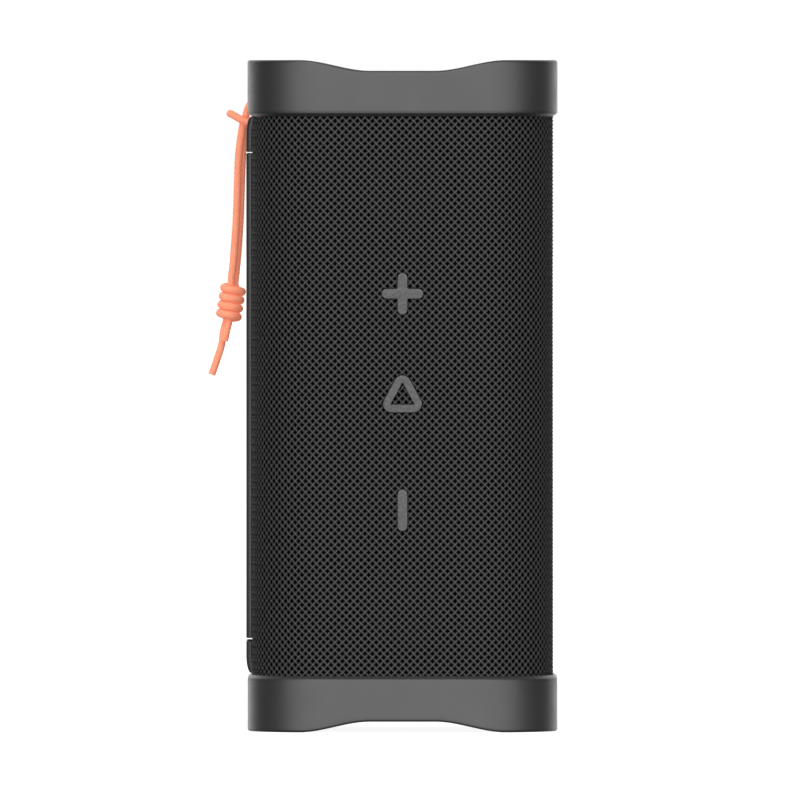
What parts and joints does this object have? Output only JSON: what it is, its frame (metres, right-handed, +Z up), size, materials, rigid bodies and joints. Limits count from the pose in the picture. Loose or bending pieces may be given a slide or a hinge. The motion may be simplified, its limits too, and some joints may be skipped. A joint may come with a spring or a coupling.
{
  "type": "portable shower speaker",
  "caption": "Portable square tower speaker wrapped in woven fabric, with notched end caps, front glyph buttons, a side spine and a knotted orange lanyard.",
  "frame": {"origin": "on the floor, at the middle of the bottom end cap", "axes": "+Z up along the tower, -Y towards the front with the glyph buttons, -X towards the side spine and lanyard"},
  "size_m": [0.0989, 0.0878, 0.19],
  "materials": {
    "end_cap": "satin moulded plastic, dark grey",
    "fabric": "open diagonal weave of charcoal yarn",
    "glyph_rubber": "matte grey silicone rubber",
    "spine": "soft-touch black rubber over plastic",
    "black_plastic": "black moulded plastic",
    "black_rubber": "matte black rubber",
    "cord": "braided coral-orange cord",
    "steel": "plain steel",
    "dark_steel": "dark coated steel",
    "board": "green circuit board",
    "cone_paper": "black paper pulp",
    "cell_wrap": "blue shrink wrap",
    "light_lens": "frosted clear plastic"
  },
  "bodies": {
    "housing": {"top_end_cap": "end_cap", "bottom_end_cap": "end_cap", "top_radiator_frame": "black_plastic", "top_radiator_surround": "black_rubber", "top_cap_screw_1": "steel", "top_cap_screw_2": "steel", "top_cap_screw_3": "steel", "top_cap_screw_4": "steel", "bottom_radiator_frame": "black_plastic", "bottom_radiator_surround": "black_rubber", "bottom_cap_screw_1": "steel", "bottom_cap_screw_2": "steel", "bottom_cap_screw_3": "steel", "bottom_cap_screw_4": "steel", "enclosure_body": "black_plastic", "enclosure_rear_cover": "black_plastic", "grille_frame": "black_plastic", "port_bezel": "black_plastic", "battery_cradle": "black_plastic", "rear_cover_gasket": "black_rubber", "button_keypad": "black_rubber", "grille_fabric": "fabric", "spine_panel": "spine", "spine_top_plate": "spine", "button_board": "board", "side_board": "board", "main_board": "board", "volume_up_switch": "steel", "action_switch": "steel", "volume_down_switch": "steel", "power_switch": "steel", "pairing_switch": "steel", "usb_c_port": "steel", "lanyard_pin": "steel", "battery_light_bar": "light_lens", "upper_driver_basket": "dark_steel", "upper_driver_magnet": "steel", "upper_driver_surround": "black_rubber", "lower_driver_basket": "dark_steel", "lower_driver_magnet": "steel", "lower_driver_surround": "black_rubber", "battery_cell_left": "cell_wrap", "battery_cell_right": "cell_wrap"},
    "volume_up_key": {"volume_up_button": "glyph_rubber"},
    "action_key": {"action_button": "glyph_rubber", "action_button_insert": "fabric"},
    "volume_down_key": {"volume_down_button": "glyph_rubber"},
    "power_key": {"power_button": "glyph_rubber"},
    "pairing_key": {"pairing_button": "glyph_rubber"},
    "port_flap": {"port_door": "spine"},
    "top_radiator": {"top_radiator_plate": "dark_steel"},
    "bottom_radiator": {"bottom_radiator_plate": "dark_steel"},
    "upper_cone": {"upper_driver_cone": "cone_paper"},
    "lower_cone": {"lower_driver_cone": "cone_paper"},
    "lanyard": {"lanyard_front_strand": "cord", "lanyard_rear_strand": "cord", "lanyard_knot": "cord", "lanyard_long_tail": "cord", "lanyard_short_tail": "cord"}
  },
  "joints": [
    {"name": "volume_up_press", "type": "slide", "parent": "housing", "child": "volume_up_key", "axis": [0, 1, 0], "range_m": [0, 0.0005], "stiffness_N_per_m": 1500, "springref_m": -0.0003},
    {"name": "action_press", "type": "slide", "parent": "housing", "child": "action_key", "axis": [0, 1, 0], "range_m": [0, 0.0005], "stiffness_N_per_m": 1500, "springref_m": -0.0003},
    {"name": "volume_down_press", "type": "slide", "parent": "housing", "child": "volume_down_key", "axis": [0, 1, 0], "range_m": [0, 0.0005], "stiffness_N_per_m": 1500, "springref_m": -0.0003},
    {"name": "power_press", "type": "slide", "parent": "housing", "child": "power_key", "axis": [1, 0, 0], "range_m": [0, 0.0004], "stiffness_N_per_m": 1500, "springref_m": -0.0003},
    {"name": "pairing_press", "type": "slide", "parent": "housing", "child": "pairing_key", "axis": [1, 0, 0], "range_m": [0, 0.0004], "stiffness_N_per_m": 1500, "springref_m": -0.0003},
    {"name": "port_door_hinge", "type": "hinge", "parent": "housing", "child": "port_flap", "pos_m": [-0.0428, 0, 0.0163], "axis": [0, -1, 0], "range_deg": [0, 95]},
    {"name": "top_radiator_stroke", "type": "slide", "parent": "housing", "child": "top_radiator", "axis": [0, 0, 1], "range_m": [-0.0025, 0.0025], "stiffness_N_per_m": 2500},
    {"name": "bottom_radiator_stroke", "type": "slide", "parent": "housing", "child": "bottom_radiator", "axis": [0, 0, 1], "range_m": [-0.0025, 0.0025], "stiffness_N_per_m": 2500},
    {"name": "upper_cone_stroke", "type": "slide", "parent": "housing", "child": "upper_cone", "axis": [0, -1, 0], "range_m": [-0.0012, 0.0012], "stiffness_N_per_m": 1200},
    {"name": "lower_cone_stroke", "type": "slide", "parent": "housing", "child": "lower_cone", "axis": [0, -1, 0], "range_m": [-0.0012, 0.0012], "stiffness_N_per_m": 1200},
    {"name": "lanyard_swing", "type": "hinge", "parent": "housing", "child": "lanyard", "pos_m": [-0.04165, 0, 0.1759], "axis": [0, 1, 0], "range_deg": [0, 60]}
  ]
}
